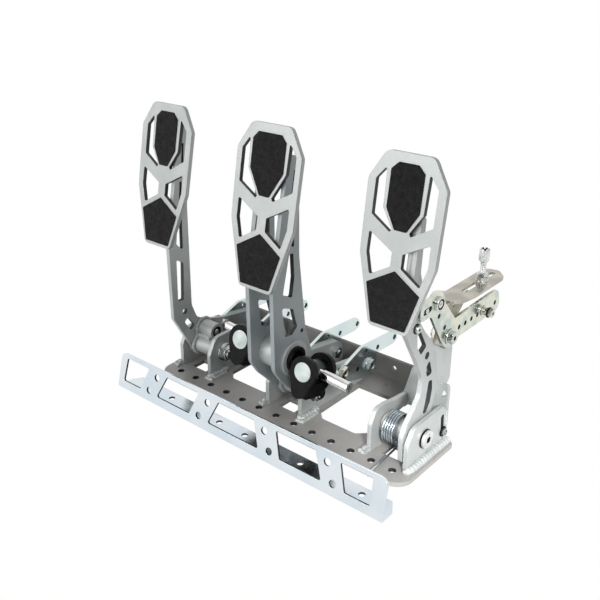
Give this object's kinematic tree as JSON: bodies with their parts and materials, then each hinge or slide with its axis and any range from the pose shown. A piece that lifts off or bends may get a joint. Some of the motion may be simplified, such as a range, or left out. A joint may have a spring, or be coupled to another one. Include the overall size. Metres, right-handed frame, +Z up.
{
  "type": "pedal set",
  "caption": "Floor-mounted pedal set: tall windowed pads on pivoting arms, a balance bar on the brake, a cable lever on the throttle and a separate heel rail.",
  "frame": {"origin": "middle hole of the front row in the base plate, on its underside", "axes": "+X along the base towards the throttle, +Y away from the driver, +Z up"},
  "size_m": [0.3876, 0.2521, 0.3176],
  "materials": {
    "powder": "silver grey powder coat, satin",
    "beam": "grey powder coat, satin",
    "zinc": "bright zinc plate",
    "bolts": "bright zinc plated fasteners",
    "chrome": "polished steel",
    "black": "black oxide, satin",
    "grip": "coarse grip tape",
    "bronze": "plain bearing bronze",
    "spring": "zinc plated spring wire"
  },
  "bodies": {
    "frame": {"base_plate": "powder", "rear_beam": "beam", "clutch_wall_left": "powder", "clutch_wall_right": "powder", "brake_wall_left": "powder", "brake_wall_right": "powder", "throttle_wall_left": "powder", "throttle_wall_right": "powder", "throttle_bulkhead": "powder", "clutch_bracket_left": "zinc", "clutch_bracket_right": "zinc", "brake_bracket_left": "zinc", "brake_bracket_right": "zinc", "bracket_bolts": "bolts", "bracket_nuts": "bolts", "clutch_pivot_bolt": "bolts", "brake_pivot_bolt": "bolts", "throttle_pivot_bolt": "bolts", "pivot_nuts": "bolts", "heel_rail": "zinc", "throttle_spring": "spring", "cable_bracket": "zinc", "bracket_screws": "bolts", "lever_bolt": "bolts", "stop_bolt": "bolts"},
    "clutch_pedal": {"clutch_arm": "powder", "clutch_pivot_tube": "powder", "clutch_bushes": "bronze", "clutch_pad": "powder", "clutch_grip_tape": "grip"},
    "brake_pedal": {"brake_arm_left": "powder", "brake_arm_right": "powder", "brake_pivot_tube": "powder", "brake_bushes": "bronze", "balance_tube": "powder", "balance_race": "black", "tube_seals": "black", "brake_pad": "powder", "brake_grip_tape": "grip"},
    "bearing_ball": {"balance_ball": "chrome"},
    "bar": {"balance_bar": "chrome", "bar_nuts": "bolts", "adjuster_sleeve": "chrome"},
    "trunnion_right": {"right_trunnion": "chrome"},
    "clevis_right": {"right_clevis": "black"},
    "trunnion_left": {"left_trunnion": "chrome"},
    "clevis_left": {"left_clevis": "black"},
    "throttle_pedal": {"throttle_arm": "powder", "throttle_pivot_tube": "powder", "throttle_bushes": "bronze", "throttle_pad": "powder", "throttle_grip_tape": "grip", "spring_rest_pin": "powder", "arm_pins": "bolts"},
    "lever": {"bellcrank": "zinc", "link_pin": "bolts"},
    "link": {"throttle_link": "zinc"},
    "clamp": {"cable_clamp": "bolts"},
    "adjuster": {"cable_adjuster": "chrome"}
  },
  "joints": [
    {"name": "clutch_press", "type": "hinge", "parent": "frame", "child": "clutch_pedal", "pos_m": [-0.1375, 0.035, 0.029], "axis": [1, 0, 0], "range_deg": [-22, 0]},
    {"name": "brake_press", "type": "hinge", "parent": "frame", "child": "brake_pedal", "pos_m": [0, 0.035, 0.029], "axis": [1, 0, 0], "range_deg": [-14, 0]},
    {"name": "bar_swing", "type": "hinge", "parent": "brake_pedal", "child": "bearing_ball", "pos_m": [0, 0.007, 0.079], "axis": [0, 0, 1], "range_deg": [-4, 4]},
    {"name": "bar_turn", "type": "hinge", "parent": "bearing_ball", "child": "bar", "pos_m": [0, 0.007, 0.079], "axis": [0.9957, 0, -0.0924], "continuous": true},
    {"name": "right_trunnion_turn", "type": "hinge", "parent": "bearing_ball", "child": "trunnion_right", "pos_m": [0.04541, 0.007, 0.07479], "axis": [0.9957, 0, -0.0924], "range_deg": [-15, 105]},
    {"name": "right_clevis_turn", "type": "hinge", "parent": "trunnion_right", "child": "clevis_right", "pos_m": [0.04541, 0.007, 0.07479], "axis": [-0.0239, 0.9659, -0.2577], "range_deg": [-6, 6]},
    {"name": "left_trunnion_turn", "type": "hinge", "parent": "bearing_ball", "child": "trunnion_left", "pos_m": [-0.04033, 0.007, 0.08274], "axis": [0.9957, 0, -0.0924], "range_deg": [-15, 105]},
    {"name": "left_clevis_turn", "type": "hinge", "parent": "trunnion_left", "child": "clevis_left", "pos_m": [-0.04033, 0.007, 0.08274], "axis": [-0.0239, 0.9659, -0.2577], "range_deg": [-6, 6]},
    {"name": "throttle_press", "type": "hinge", "parent": "frame", "child": "throttle_pedal", "pos_m": [0.1375, 0.035, 0.029], "axis": [1, 0, 0], "range_deg": [-9.5, 0], "stiffness_Nm_per_rad": 1.2, "springref_deg": 28.65, "deforming": ["throttle_spring"]},
    {"name": "lever_turn", "type": "hinge", "parent": "frame", "child": "lever", "pos_m": [0.1598, 0.07, 0.126], "axis": [1, 0, 0], "range_deg": [-21, 0]},
    {"name": "link_turn", "type": "hinge", "parent": "lever", "child": "link", "pos_m": [0.1631, 0.038, 0.173], "axis": [1, 0, 0], "range_deg": [0, 52]},
    {"name": "clamp_turn", "type": "hinge", "parent": "lever", "child": "clamp", "pos_m": [0.1598, 0.1355, 0.1295], "axis": [1, 0, 0], "range_deg": [-45, 45]},
    {"name": "adjuster_turn", "type": "hinge", "parent": "frame", "child": "adjuster", "pos_m": [0.151, 0.1465, 0.157], "axis": [0, 0, 1], "continuous": true}
  ],
  "couplings": [
    {"joint": "lever_turn", "follows": "throttle_press", "ratio": 2.1472},
    {"joint": "link_turn", "follows": "throttle_press", "ratio": -5.3548}
  ]
}
